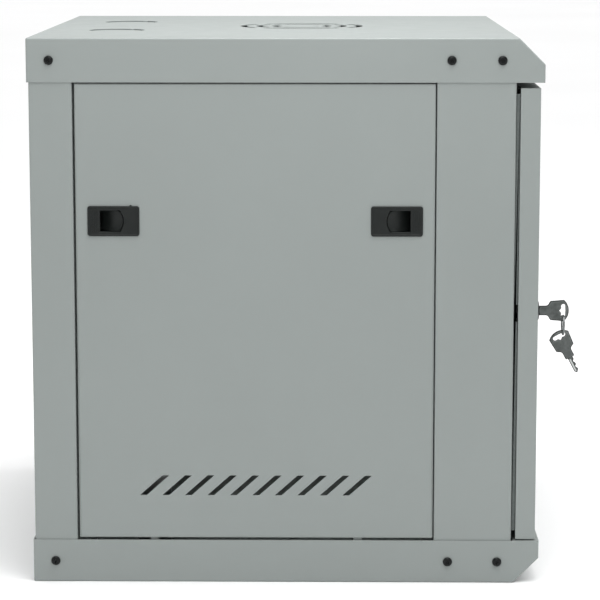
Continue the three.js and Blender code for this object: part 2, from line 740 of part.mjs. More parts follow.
function lockNut() {
  const depths = lockDepths(-SHEET - CLEAR - 4, -SHEET - CLEAR);
  return cut(
    prism("y", hexagon(LOCK_X, LOCK_Z, 13), ...depths),
    prism("y", circle(LOCK_X, LOCK_Z, BARREL_RADIUS + 0.4, 20), depths[0] - 1, depths[1] + 1),
  );
}

function lockPlug() {
  const profile = [
    [0, CAM_FRONT - 8],
    [TAIL_RADIUS, CAM_FRONT - 8],
    [TAIL_RADIUS, CAM_FRONT + CLEAR],
    [PLUG_RADIUS, CAM_FRONT + CLEAR],
    [PLUG_RADIUS, PLUG_FACE],
    [0, PLUG_FACE],
  ];
  const keyway = block([LOCK_X - 1.5, LOCK_X + 1.5], lockDepths(-19, 5), [LOCK_Z - 3.4, LOCK_Z + 3.4]);
  return cut(onLock(profile, 20), keyway);
}

// The cam hangs down when the lock is open, so that it passes the slot in the front post.
function lockCam() {
  const outline = [
    ...arc(LOCK_X, LOCK_Z, 7.5, 0, 180, 8),
    ...arc(LOCK_X, LOCK_Z - CAM_LENGTH + 5.5, 5.5, 180, 360, 6),
  ];
  const depths = lockDepths(CAM_FRONT - CAM_THICK, CAM_FRONT);
  return cut(
    prism("y", outline, ...depths),
    prism("y", circle(LOCK_X, LOCK_Z, TAIL_RADIUS + CLEAR, 16), depths[0] - 1, depths[1] + 1),
  );
}

function camNut() {
  const back = CAM_FRONT - CAM_THICK - CLEAR;
  const depths = lockDepths(back - 4, back);
  return cut(
    prism("y", hexagon(LOCK_X, LOCK_Z, 6.9), ...depths),
    prism("y", circle(LOCK_X, LOCK_Z, TAIL_RADIUS + CLEAR, 16), depths[0] - 1, depths[1] + 1),
  );
}

add("lock_housing", lockHousing(), "nickel");
add("lock_nut", lockNut(), "nickel");
add("lock_plug", lockPlug(), "nickel");
add("lock_cam", lockCam(), "zinc");
add("cam_nut", camNut(), "zinc");

// ---------------------------------------------------------------- keys and ring

const KEY_THICK = 2.2;
const KEY = { corner: 2.5, shoulder: 21.5, neck: 26, stop: 34.7, tip: 54.5 };
const KEY_SLOT = { near: 4, far: 9.2, half: 8 };
const RING = { mean: 11, radial: 2, axial: 3.2, sides: 24 };

// A key lying in the YZ plane with its bow's outer end at the origin and its blade along +Y; the
// blade's cuts are on its lower edge.
function keyBlank() {
  const bow = arc(14, 0, 16.8, 132, 228, 8).map(([a, b]) => [a + KEY.corner + 0.3, b]);
  const outline = [
    ...bow,
    [KEY.shoulder, -11],
    [KEY.neck, -5.6],
    [KEY.stop, -5.6],
    [KEY.stop, -3],
    [38, -3],
    [39.6, -1.4],
    [41.4, -1.4],
    [43, -2.6],
    [44.8, -2.6],
    [46.4, -0.9],
    [48.2, -0.9],
    [49.8, -2.2],
    [51.2, -2.2],
    [KEY.tip, 0.6],
    [KEY.tip - 2.4, 3],
    [KEY.stop, 3],
    [KEY.stop, 5.6],
    [KEY.neck, 5.6],
    [KEY.shoulder, 11],
  ];
  const { near, far, half } = KEY_SLOT;
  const width = far - near;
  const slot = roundedRectangle((near + far) / 2, 0, width, 2 * half, width / 2 - 0.05, 4);
  return cut(
    prism("x", outline, -KEY_THICK / 2, KEY_THICK / 2),
    prism("x", slot, -KEY_THICK, KEY_THICK),
  );
}

const keyAxis = new THREE.Vector3(LOCK_X, 0, LOCK_Z);
const bowEndY = DOOR_FRONT_Y - PLUG_FACE - 0.4 - KEY.stop;

const key = add("key", keyBlank(), "nickel");
key.position.set(keyAxis.x, bowEndY, keyAxis.z);

// The ring hangs in the key's slot, across the door, and the spare key hangs from the ring.
const ringY = bowEndY + (KEY_SLOT.near + KEY_SLOT.far) / 2;
const ringTop = LOCK_Z - KEY_SLOT.half + 1.9;
const ringBottom = ringTop - 2 * RING.mean;
const [ringIn, ringOut] = [RING.mean - RING.radial / 2, RING.mean + RING.radial / 2];
const ringEdge = RING.axial / 2;
const ringProfile = [
  [ringIn, -ringEdge],
  [ringOut, -ringEdge],
  [ringOut, ringEdge],
  [ringIn, ringEdge],
  [ringIn, -ringEdge],
];
const ring = turnedOutwards(ringProfile, LOCK_X, ringY, ringTop - RING.mean, RING.sides);
add("key_ring", ring, "nickel");

// The spare key tips until its weight is under the ring, its blade forwards and down.
const SPARE_TILT = THREE.MathUtils.degToRad(28);
const hangsAt = { along: 6.1, across: 5.0 }; // where the ring passes through its slot
const spareKey = add("spare_key", keyBlank(), "nickel");
spareKey.rotation.x = -Math.PI / 2 - SPARE_TILT;
spareKey.position.set(0, -hangsAt.along, hangsAt.across);
spareKey.position.applyEuler(new THREE.Euler(spareKey.rotation.x, 0, 0));
spareKey.position.add(new THREE.Vector3(LOCK_X, ringY, ringBottom));

export default cabinet;
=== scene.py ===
"""A light grey wall-mount network cabinet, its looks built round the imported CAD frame.

Metres, +Z up, the front faces -Y. Lengths in the shape code are millimetres times MM.
"""

import json
import math

import bmesh
import bpy
from mathutils import Matrix, Vector
from mathutils.geometry import tessellate_polygon


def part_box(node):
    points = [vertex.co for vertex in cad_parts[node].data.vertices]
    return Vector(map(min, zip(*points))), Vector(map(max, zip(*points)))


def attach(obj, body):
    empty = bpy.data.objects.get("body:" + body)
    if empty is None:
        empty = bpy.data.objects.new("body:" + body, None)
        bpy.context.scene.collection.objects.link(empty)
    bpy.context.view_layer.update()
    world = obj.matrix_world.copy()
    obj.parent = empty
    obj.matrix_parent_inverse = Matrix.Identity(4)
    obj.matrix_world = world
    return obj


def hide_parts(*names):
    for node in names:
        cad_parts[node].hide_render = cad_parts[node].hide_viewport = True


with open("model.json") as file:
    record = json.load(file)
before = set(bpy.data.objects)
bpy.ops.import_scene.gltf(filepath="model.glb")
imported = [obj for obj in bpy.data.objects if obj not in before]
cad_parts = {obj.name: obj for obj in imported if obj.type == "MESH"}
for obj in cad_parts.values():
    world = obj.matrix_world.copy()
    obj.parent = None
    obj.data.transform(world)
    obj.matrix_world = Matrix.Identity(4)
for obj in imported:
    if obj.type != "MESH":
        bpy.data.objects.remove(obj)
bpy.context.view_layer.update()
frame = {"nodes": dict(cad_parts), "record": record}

MM = 0.001
NODES = frame["nodes"]

# ------------------------------------------------------------------ camera

# A long lens looks at the left side from a little above, level with the cabinet's middle.
LENS_MM = 144.2
SENSOR_MM = 36.0
LENS_SHIFT = -0.05
CAMERA_AT = (-3.052, -0.0499, 0.7808)
LOOK_DOWN, LOOK_LEFT = 8.44, 0.69
CLIP_NEAR, CLIP_FAR = 0.1, 100.0


def make_camera():
    data = bpy.data.cameras.new("camera")
    data.lens = LENS_MM
    data.sensor_width = SENSOR_MM
    data.shift_y = LENS_SHIFT
    data.clip_start, data.clip_end = CLIP_NEAR, CLIP_FAR
    camera = bpy.data.objects.new("camera", data)
    camera.location = CAMERA_AT
    down, left = math.radians(LOOK_DOWN), math.radians(LOOK_LEFT)
    ahead = Vector((math.cos(down) * math.cos(left), math.cos(down) * math.sin(left), -math.sin(down)))
    camera.rotation_mode = "QUATERNION"
    camera.rotation_quaternion = ahead.to_track_quat("-Z", "Y")
    bpy.context.scene.collection.objects.link(camera)
    bpy.context.scene.camera = camera


make_camera()

# ------------------------------------------------------------------ dimensions, as in the frame

SHEET = 1.2
DEPTH, HEIGHT, HALF_WIDTH = 595.0, 640.0, 300.0
BAND, BEVEL = 50.8, 30.0
BODY_SIDE = 298.5
PANEL = {"rear": 54.8, "front": 470.0, "bottom": 53.2, "top": 588.0, "sheet": 1.0, "flange": 13.2}
PANEL_MIDDLE = (PANEL["rear"] + PANEL["front"]) / 2
LATCH_Z = 429.0
LATCH_FROM_EDGE = 43.8
SCREWS_FROM_REAR = (26.2, 487.9, 545.9)
LOCK_X, LOCK_Z = -272.0, 320.9
DOOR_FRONT_Y = -293.0

# How far the Boolean cutters reach past the sheet that they pierce, or the block that they trim.
NARROW_OVERSHOOT, OVERSHOOT, WIDE_OVERSHOOT = 2.0, 5.0, 10.0


def from_rear(u):
    """The Y of a distance from the trays' rear face, in millimetres."""
    return DEPTH / 2 - u


# ------------------------------------------------------------------ materials


class Nodes:
    """A material with a Principled shader, and short ways to add what drives it."""

    def __init__(self, name):
        self.material = bpy.data.materials.new(name)
        self.material.use_nodes = True
        self.tree = self.material.node_tree
        self.shader = self.tree.nodes["Principled BSDF"]
        self.object_space = self.tree.nodes.new("ShaderNodeTexCoord").outputs["Object"]

    def link(self, source, target):
        self.tree.links.new(source, target)

    def set(self, **values):
        for name, value in values.items():
            self.shader.inputs[name.replace("_", " ")].default_value = value
        return self

    def stretched(self, scale):
        node = self.tree.nodes.new("ShaderNodeMapping")
        node.inputs["Scale"].default_value = scale
        self.link(self.object_space, node.inputs["Vector"])
        return node.outputs["Vector"]

    def noise(self, scale, detail=2.0, roughness=0.5, where=None):
        node = self.tree.nodes.new("ShaderNodeTexNoise")
        node.inputs["Scale"].default_value = scale
        node.inputs["Detail"].default_value = detail
        node.inputs["Roughness"].default_value = roughness
        self.link(where or self.object_space, node.inputs["Vector"])
        return node.outputs["Fac"]

    def between(self, source, low, high, start=0.3, end=0.7):
        """A value that goes from low to high while the source goes from start to end."""
        node = self.tree.nodes.new("ShaderNodeMapRange")
        node.inputs["From Min"].default_value = start
        node.inputs["From Max"].default_value = end
        node.inputs["To Min"].default_value = low
        node.inputs["To Max"].default_value = high
        self.link(source, node.inputs["Value"])
        return node.outputs["Result"]

    def ramp(self, source, stops):
        node = self.tree.nodes.new("ShaderNodeValToRGB")
        while len(node.color_ramp.elements) < len(stops):
            node.color_ramp.elements.new(0.5)
        for element, (at, colour) in zip(node.color_ramp.elements, stops):
            element.position = at
            element.color = (*colour, 1.0)
        self.link(source, node.inputs["Fac"])
        return node.outputs["Color"]

    def over(self, under, colour, attribute, full):
        """A colour laid over another, fully where a mesh attribute has the given value."""
        mask = self.tree.nodes.new("ShaderNodeAttribute")
        mask.attribute_name = attribute
        mix = self.tree.nodes.new("ShaderNodeMix")
        mix.data_type = "RGBA"
        self.link(self.between(mask.outputs["Fac"], 0.0, 1.0, 0.0, full), mix.inputs[0])
        self.link(under, mix.inputs[6])
        mix.inputs[7].default_value = (*colour, 1.0)
        return mix.outputs[2]

    def bump(self, layers):
        """Bumps laid over each other: (height, strength, distance in metres) each."""
        normal = None
        for height, strength, distance in layers:
            node = self.tree.nodes.new("ShaderNodeBump")
            node.inputs["Strength"].default_value = strength
            node.inputs["Distance"].default_value = distance
            self.link(height, node.inputs["Height"])
            if normal:
                self.link(normal, node.inputs["Normal"])
            normal = node.outputs["Normal"]
        self.link(normal, self.shader.inputs["Normal"])

    def colour(self, source):
        self.link(source, self.shader.inputs["Base Color"])

    def rough(self, source):
        self.link(source, self.shader.inputs["Roughness"])


def powder_coat():
    """Satin light grey powder coat: faint mottling, fine orange peel and a finer grain."""
    m = Nodes("grey_powder_coat").set(Metallic=0.0, IOR=1.46)
    mottle = m.noise(5.0, 4.0, 0.6)
    speck = m.noise(900.0, 2.0, 0.7)
    m.colour(m.ramp(mottle, [
        (0.3, (0.241, 0.265, 0.257)),
        (0.55, (0.245, 0.27, 0.262)),
        (0.75, (0.249, 0.274, 0.266)),
    ]))
    m.rough(m.between(m.noise(35.0, 3.0, 0.6), 0.4, 0.45))
    m.bump([(m.noise(320.0, 2.0, 0.5), 0.18, 0.00025), (speck, 0.22, 0.00006)])
    return m.material


def black_plastic():
    """Injection-moulded black: spark-eroded grain, with a soft sheen where it is handled."""
    m = Nodes("black_moulded_plastic").set(IOR=1.45, Specular_IOR_Level=0.28)
    m.colour(m.ramp(m.noise(60.0, 4.0, 0.6), [(0.3, (0.0075, 0.0095, 0.009)), (0.7, (0.0115, 0.014, 0.013))]))
    m.rough(m.between(m.noise(140.0, 3.0, 0.6), 0.36, 0.5))
    m.bump([(m.noise(1500.0, 2.0, 0.6), 0.25, 0.00005)])
    return m.material


def black_zinc():
    """Black zinc plate on a screw: dark metal, uneven, slightly worn bright on the high spots."""
    m = Nodes("black_zinc_plate").set(Metallic=0.55, Specular_IOR_Level=0.4)
    wear = m.noise(700.0, 5.0, 0.7)
    m.colour(m.ramp(wear, [
        (0.35, (0.004, 0.005, 0.005)),
        (0.62, (0.008, 0.0095, 0.0095)),
        (0.8, (0.035, 0.036, 0.036)),
    ]))
    m.rough(m.between(m.noise(300.0, 3.0, 0.6), 0.22, 0.4))
    m.bump([(m.noise(2200.0, 2.0, 0.6), 0.2, 0.00004)])
    return m.material


def plated_metal(name, dark, light, rough, grain, painted_highlight=None, painted_shade=None):
    """Plated steel: brushed along one way, with cloudy patches. grain is the scale on each axis.

    The mesh's "rim" attribute brings in the painted highlight colour at 1, and the painted shade colour at
    -1.
    """
    m = Nodes(name).set(Metallic=1.0)
    brushed = m.noise(1.0, 3.0, 0.65, m.stretched(grain))
    cloud = m.noise(90.0, 4.0, 0.6)
    colour = m.ramp(cloud, [(0.3, dark), (0.72, light)])
    # Painted highlight and painted shade, laid over the metal's colour where the "rim" attribute asks for
    # them.
    for tint, full in ((painted_highlight, 1.0), (painted_shade, -1.0)):
        if tint:
            colour = m.over(colour, tint, "rim", full)
    m.colour(colour)
    m.rough(m.between(brushed, rough - 0.07, rough + 0.09))
    m.bump([(brushed, 0.2, 0.00005), (m.noise(500.0, 3.0, 0.6), 0.08, 0.00005)])
    return m.material


def rubber():
    """Black seal rubber: finely pitted and almost matt."""
    m = Nodes("black_seal_rubber").set(IOR=1.5)
    m.colour(m.ramp(m.noise(200.0, 3.0, 0.6), [(0.3, (0.008, 0.008, 0.008)), (0.7, (0.016, 0.016, 0.016))]))
    m.rough(m.between(m.noise(400.0, 2.0), 0.7, 0.85))
    m.bump([(m.noise(1200.0, 2.0, 0.6), 0.3, 0.00006)])
    return m.material


def foam():
    """Grey closed-cell foam: pitted, quite matt."""
    m = Nodes("grey_closed_cell_foam").set(IOR=1.45)
    m.colour(m.ramp(m.noise(250.0, 3.0, 0.6), [(0.3, (0.1, 0.114, 0.11)), (0.7, (0.132, 0.148, 0.143))]))
    m.rough(m.between(m.noise(300.0, 2.0), 0.8, 0.95))
    m.bump([(m.noise(1400.0, 3.0, 0.7), 0.6, 0.00012)])
    return m.material


def tempered_glass():
    """Lightly grey tempered glass: the faint roller waves of toughening, and a hint of haze."""
    m = Nodes("grey_tempered_glass").set(IOR=1.5, Transmission_Weight=1.0)
    m.colour(m.ramp(m.noise(2.0, 2.0), [(0.3, (0.62, 0.67, 0.66)), (0.7, (0.66, 0.7, 0.69))]))
    m.rough(m.between(m.noise(20.0, 3.0), 0.01, 0.03))
    m.bump([(m.noise(1.0, 1.0, 0.4, m.stretched((0.5, 0.5, 9.0))), 0.03, 0.0005)])
    return m.material


GREY = powder_coat()
PLASTIC = black_plastic()
SCREW_BLACK = black_zinc()
ZINC = plated_metal("zinc_plate", (0.4, 0.42, 0.43), (0.56, 0.57, 0.57), 0.36, (60.0, 60.0, 900.0))
# On the keys: a bright painted highlight colour and a dark painted shade colour, laid on by the "rim"
# attribute.
NICKEL = plated_metal(
    "key_nickel", (0.075, 0.083, 0.08), (0.15, 0.16, 0.157), 0.36, (300.0, 1600.0, 300.0),
    painted_highlight=(0.55, 0.57, 0.56), painted_shade=(0.014, 0.016, 0.0155),
)
DARK_METAL = plated_metal(
    "lock_dark_nickel", (0.03, 0.032, 0.033), (0.075, 0.078, 0.078), 0.34, (900.0, 200.0, 900.0),
)
RING_STEEL = plated_metal(
    "ring_steel", (0.16, 0.17, 0.17), (0.3, 0.31, 0.31), 0.28, (900.0, 900.0, 900.0),
)
RUBBER = rubber()
FOAM = foam()
GLASS = tempered_glass()

# ------------------------------------------------------------------ outlines


def arc(cx, cy, radius, start, end, steps):
    """Points on an arc, angles in degrees, both ends included."""
    angles = [math.radians(start + (end - start) * i / steps) for i in range(steps + 1)]
    return [(cx + radius * math.cos(a), cy + radius * math.sin(a)) for a in angles]


def circle(cx, cy, radius, steps):
    """A closed polygon of points on a circle."""
    return arc(cx, cy, radius, 0, 360, steps)[:-1]


def area(points):
    """The signed area of an outline, positive when it runs counter-clockwise."""
    wrapped = zip(points, points[1:] + points[:1])
    return sum(x0 * y1 - x1 * y0 for (x0, y0), (x1, y1) in wrapped) / 2


def counter_clockwise(points):
    return points if area(points) > 0 else points[::-1]


def rounded(points, radii, steps=5):
    """A polygon with each corner turned into an arc. radii is one radius, or one for each corner."""
    if not isinstance(radii, (list, tuple)):
        radii = [radii] * len(points)
    made = []
    for i, radius in enumerate(radii):
        before, here, after = (Vector(points[(i + k) % len(points)]) for k in (-1, 0, 1))
        into, out = (before - here).normalized(), (after - here).normalized()
        half = into.angle(out) / 2
        if radius <= 0 or half > math.radians(89.5):
            made.append(tuple(here))
            continue
        reach = radius / math.tan(half)
        centre = here + (into + out).normalized() * (radius / math.sin(half))
        first, last = here + into * reach - centre, here + out * reach - centre
        turn = first.angle_signed(last)
        for k in range(steps + 1):
            spoke = first.copy()
            spoke.rotate(Matrix.Rotation(-turn * k / steps, 2))
            made.append(tuple(centre + spoke))
    return made


def rectangle(x0, x1, y0, y1):
    return [(x0, y0), (x1, y0), (x1, y1), (x0, y1)]


def grown(points, distance):
    """A counter-clockwise outline moved outwards by a distance, inwards if it is negative."""
    made = []
    for i, here in enumerate(points):
        before, after = points[i - 1], points[(i + 1) % len(points)]
        d1 = (Vector(here) - Vector(before)).normalized()
        d2 = (Vector(after) - Vector(here)).normalized()
        n1, n2 = Vector((d1.y, -d1.x)), Vector((d2.y, -d2.x))
        middle = n1 + n2
        middle.normalize()
        made.append(tuple(Vector(here) + middle * (distance / max(0.35, middle.dot(n1)))))
    return made


# ------------------------------------------------------------------ meshes

# A lift turns a point (p, q) of an outline, at a height h, into (x, y, z).


def along_x(p, q, h):
    return (h, p, q)


def along_y(p, q, h):
    return (p, h, q)


def along_z(p, q, h):
    return (p, q, h)


class Build:
    """A mesh under construction in millimetres, placed by one matrix at the end."""

    def __init__(self):
        self.verts = []
        self.faces = []
        self.painted_light_shares = {}

    def mark(self, since, share):
        """Faces made since a count get a "rim" value: 1 is a painted highlight, -1 is painted shade."""
        self.painted_light_shares.update((index, share) for index in range(since, len(self.faces)))

    def ring(self, points):
        """Adds points, and gives back their numbers."""
        start = len(self.verts)
        self.verts += [tuple(p) for p in points]
        return list(range(start, start + len(points)))

    def bridge(self, a, b, closed=True):
        """A band of quads between two rings of as many points."""
        for i in range(len(a) if closed else len(a) - 1):
            j = (i + 1) % len(a)
            self.faces.append((a[i], a[j], b[j], b[i]))

    def fill(self, outer, holes=()):
        """Triangles across a flat outline, round its holes."""
        loops = [outer, *holes]
        flat = [i for loop in loops for i in loop]
        for triangle in tessellate_polygon([[Vector(self.verts[i]) for i in loop] for loop in loops]):
            self.faces.append(tuple(flat[i] for i in triangle))

    def plate(self, outline, holes, low, high, edge=0.3, lift=along_z):
        """A flat plate between two heights, with softened edges."""
        outline = counter_clockwise(outline)
        holes = [counter_clockwise(hole) for hole in holes]
        steps = [(low, -edge), (low + edge, 0.0), (high - edge, 0.0), (high, -edge)]
        rims = [[self.ring([lift(p, q, h) for p, q in grown(outline, g)]) for h, g in steps]]
        for hole in holes:
            rims.append([self.ring([lift(p, q, h) for p, q in grown(hole, -g)]) for h, g in steps])
        for rim in rims:
            for a, b in zip(rim, rim[1:]):
                self.bridge(a, b)
        self.fill(rims[0][0], [rim[0] for rim in rims[1:]])
        self.fill(rims[0][-1], [rim[-1] for rim in rims[1:]])
        return self

    def turn(self, profile, steps, lift):
        """A solid of revolution from (radius, height) pairs; a radius of nought closes an end."""
        previous = None
        for radius, height in profile:
            if radius == 0:
                current = self.ring([lift(0.0, 0.0, height)]) * steps
            else:
                current = self.ring([lift(x, y, height) for x, y in circle(0, 0, radius, steps)])
            if previous:
                self.bridge(previous, current)
            previous = current
        return self

    def mesh(self, name, matrix=Matrix(), sharp=38.0):
        """The finished mesh, in metres, smooth except across edges sharper than an angle."""
        bm = bmesh.new()
        # The "rim" layer holds each face's share of painted highlight (above nought) or painted shade (below
        # nought).
        rim = bm.faces.layers.float.new("rim")
        for v in self.verts:
            bm.verts.new(matrix @ (Vector(v) * MM))
        bm.verts.ensure_lookup_table()
        for index, face in enumerate(self.faces):
            corners = [i for k, i in enumerate(face) if i != face[k - 1]]
            if len(set(corners)) > 2:
                bm.faces.new([bm.verts[i] for i in corners])[rim] = self.painted_light_shares.get(index, 0.0)
        bmesh.ops.remove_doubles(bm, verts=bm.verts, dist=1e-6)
        bmesh.ops.dissolve_degenerate(bm, edges=bm.edges, dist=1e-7)
        bmesh.ops.recalc_face_normals(bm, faces=bm.faces)
        made = bpy.data.meshes.new(name)
        bm.to_mesh(made)
        bm.free()
        made.shade_smooth()
        made.set_sharp_from_angle(angle=math.radians(sharp))
        return made


def new_object(name, mesh, material):
    piece = bpy.data.objects.new(name, mesh)
    bpy.context.scene.collection.objects.link(piece)
    mesh.materials.clear()
    mesh.materials.append(material)
    return piece


REPLACED = set()


def place(piece, body, nodes):
    """The piece rides on a body and stands for CAD nodes, which it hides."""
    REPLACED.update(nodes)
    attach(piece, body)
    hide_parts(*nodes)
    return piece


def cut(piece, *cutters):
    """Takes each cutter's mesh out of the piece, for good."""
    for cutter in cutters:
        tool = bpy.data.objects.new("cutter", cutter)
        bpy.context.scene.collection.objects.link(tool)
        modifier = piece.modifiers.new("cut", "BOOLEAN")
        modifier.operation = "DIFFERENCE"
        modifier.solver = "EXACT"
        modifier.object = tool
        bpy.context.view_layer.update()
        result = bpy.data.meshes.new_from_object(piece.evaluated_get(bpy.context.evaluated_depsgraph_get()))
        piece.modifiers.clear()
        piece.data = result
        bpy.data.objects.remove(tool)
    return piece


def even_normals(piece, sharp=30.0):
    """Flat faces shade flat beside their rounded edges."""
    piece.data.shade_smooth()
    piece.data.set_sharp_from_angle(angle=math.radians(sharp))
    modifier = piece.modifiers.new("even_normals", "WEIGHTED_NORMAL")
    modifier.keep_sharp = True
    modifier.weight = 80


# ------------------------------------------------------------------ trays

VENT_FROM_REAR = 312.8
VENT_RINGS = ((30.0, 38.0, 5.0), (49.5, 57.5, 5.0), (69.0, 77.5, 16.0))
KNOCKOUT = {"u": 88.6, "x": 111.0, "radius": 34.0, "slit": 2.4, "sink": 1.2}
KNOCKOUT_TAB = {"from": 29.0, "to": 35.5, "half": 2.4, "turns": (30, 210), "top": 0.05, "lap": 0.2}
TRAY_RETURN = 564.5
FOLD, NOSE_FOLD = 1.8, 2.5
INSET_SHARE = 0.98  # keeps the inset outline's small arcs from closing up
BLOCK_TOP = 80.0
HINGE_PIN = {"x": 288.0, "y": -281.5, "hole": 3.5}
HINGE_HOLE_DEPTH = 4.0
SCREW_HOLE = 3.4


def tray_block(name):
    """The base tray before it is hollowed: a tall block with its outer folds rounded."""
    half = DEPTH / 2
    corners = [(half, 0), (half, BLOCK_TOP), (-half, BLOCK_TOP), (-half, BEVEL), (-half + BEVEL, 0)]
    outline = counter_clockwise(rounded(corners[::-1], [FOLD, NOSE_FOLD, 0, 0, FOLD], 4))
    build = Build()
    rings = []
    steps = 4
    for side in (-1, 1):
        turns = range(steps, -1, -1) if side < 0 else range(steps + 1)
        for k in turns:
            angle = math.pi / 2 * k / steps
            x = side * (HALF_WIDTH - FOLD + FOLD * math.sin(angle))
            inset = INSET_SHARE * FOLD * (1 - math.cos(angle))
            rings.append(build.ring([(x, y, z) for y, z in grown(outline, -inset)]))
    for a, b in zip(rings, rings[1:]):
        build.bridge(a, b)
    build.fill(rings[0])
    build.fill(rings[-1])
    return build.mesh(name)


def prism_mesh(outline, low, high, lift):
    return Build().plate(outline, [], low, high, 0.0, lift).mesh("cutter")


def tray_piece(name, node, top):
    """A tray: hollowed, pierced and given its knock-outs; the cover is the base turned over."""
    piece = new_object(name, tray_block(name), GREY)
    half, mitre = DEPTH / 2, SHEET * (math.sqrt(2) - 1)
    back, nose, edge = half - SHEET, -half + SHEET, from_rear(TRAY_RETURN)
    hollow = [
        (back, SHEET), (back, BAND), (back, BAND + 1), (edge, BAND + 1), (edge, BAND - SHEET),
        (nose, BAND - SHEET), (nose, BEVEL + mitre), (-half + BEVEL + mitre, SHEET),
    ]
    above = rectangle(-half - OVERSHOOT, half + OVERSHOOT, BAND, BLOCK_TOP + WIDE_OVERSHOOT)
    inner = HALF_WIDTH - SHEET
    y = from_rear(VENT_FROM_REAR)
    through_sheet = (-NARROW_OVERSHOOT, SHEET + NARROW_OVERSHOOT)
    cutters = [
        prism_mesh(above, -HALF_WIDTH - WIDE_OVERSHOOT, HALF_WIDTH + WIDE_OVERSHOOT, along_x),
        prism_mesh(hollow, -inner, inner, along_x),
    ]
    for x in (-HINGE_PIN["x"], HINGE_PIN["x"]):
        hole = circle(x, HINGE_PIN["y"], HINGE_PIN["hole"], 24)
        cutters.append(prism_mesh(hole, BAND - HINGE_HOLE_DEPTH, BAND + HINGE_HOLE_DEPTH, along_z))
    for u in SCREWS_FROM_REAR:
        hole = circle(from_rear(u), BAND / 2, SCREW_HOLE, 16)
        cutters.append(prism_mesh(hole, -HALF_WIDTH - OVERSHOOT, HALF_WIDTH + OVERSHOOT, along_x))
    for inside, outside, rib in VENT_RINGS:
        gap = math.degrees(math.asin(rib / (inside + outside)))
        for middle in (0, 90, 180, 270):
            start, end = middle - 45 + gap, middle + 45 - gap
            outline = arc(0, y, outside, start, end, 14) + arc(0, y, inside, end, start, 14)
            cutters.append(prism_mesh(rounded_ends(outline, 15), *through_sheet, along_z))
    for x in (-KNOCKOUT["x"], KNOCKOUT["x"]):
        disc = circle(x, from_rear(KNOCKOUT["u"]), KNOCKOUT["radius"], 64)
        cutters.append(prism_mesh(disc, *through_sheet, along_z))
    cut(piece, *cutters)
    add_knockouts(piece)
    if top:
        piece.data.transform(Matrix.Translation((0, 0, HEIGHT * MM)) @ Matrix.Rotation(math.pi, 4, "Y"))
    even_normals(piece)
    return place(piece, "cabinet", [node])


def rounded_ends(outline, per_side):
    """An arc slot's outline with its four corners eased."""
    ends = {0, per_side - 1, per_side, 2 * per_side - 1}
    return rounded(outline, [1.2 if i in ends else 0 for i in range(len(outline))], 3)


def add_knockouts(piece):
    """The two pressed blanks, each held by a pair of narrow tabs."""
    build = Build()
    sink = KNOCKOUT["sink"]
    half = KNOCKOUT_TAB["half"]
    bar = rectangle(KNOCKOUT_TAB["from"], KNOCKOUT_TAB["to"], -half, half)
    for x in (-KNOCKOUT["x"], KNOCKOUT["x"]):
        y = from_rear(KNOCKOUT["u"])
        disc = circle(x, y, KNOCKOUT["radius"] - KNOCKOUT["slit"], 64)
        build.plate(disc, [], sink, sink + SHEET, 0.25)
        for angle in KNOCKOUT_TAB["turns"]:
            c, s = math.cos(math.radians(angle)), math.sin(math.radians(angle))
            tab = [(x + c * p - s * q, y + s * p + c * q) for p, q in bar]
            build.plate(tab, [], KNOCKOUT_TAB["top"], sink + KNOCKOUT_TAB["lap"], 0.1)
    extra = build.mesh("knockouts")
    bm = bmesh.new()
    bm.from_mesh(piece.data)
    bm.from_mesh(extra)
    bm.to_mesh(piece.data)
    bm.free()


# ------------------------------------------------------------------ side panels

SLOTS = {"count": 10, "pitch": 26.4, "width": 7.8, "rise": 23.7, "lean": 26.5, "z": 116.4}
SLOT_BLUNT, SLOT_SHARP = 1.6, 0.15  # radii of a slot's blunt and pointed corners
LATCH_HOLE = {"half_width": 28.0, "half_height": 15.5, "radius": 2.0}
PANEL_FOLD, PANEL_CORNER, PANEL_EDGE = 1.6, 1.2, 0.25
LOCATING_TABS = (143.0, 382.0)
TAB_OUTLINE = ((-5, 54.0), (-5, 45.8), (-3.6, 44.6), (3.6, 44.6), (5, 45.8), (5, 54.0))
TAB_DEPTHS = (2.2, 3.4)


def panel_place(side):
    """Places a left-panel shape on its side: the right panel is the left one turned half round."""
    if side == "left":
        return Matrix()
    return Matrix.Translation((0, 2 * from_rear(PANEL_MIDDLE) * MM, 0)) @ Matrix.Rotation(math.pi, 4, "Z")


def vent_slots():
    """Slanted slots with level ends, which lean towards the front as they rise."""
    made = []
    for i in range(SLOTS["count"]):
        middle = from_rear(PANEL_MIDDLE + (i - (SLOTS["count"] - 1) / 2) * SLOTS["pitch"])
        corners = []
        for side, end in ((-1, -1), (1, -1), (1, 1), (-1, 1)):
            y = middle - end * SLOTS["lean"] / 2 + side * SLOTS["width"] / 2
            corners.append((y, SLOTS["z"] + end * SLOTS["rise"] / 2))
        made.append(rounded(corners, [SLOT_BLUNT, SLOT_SHARP, SLOT_BLUNT, SLOT_SHARP], 5))
    return made


def quarter(steps):
    """Angles from nought to a right angle, both included."""
    return [math.pi / 2 * k / steps for k in range(steps + 1)]


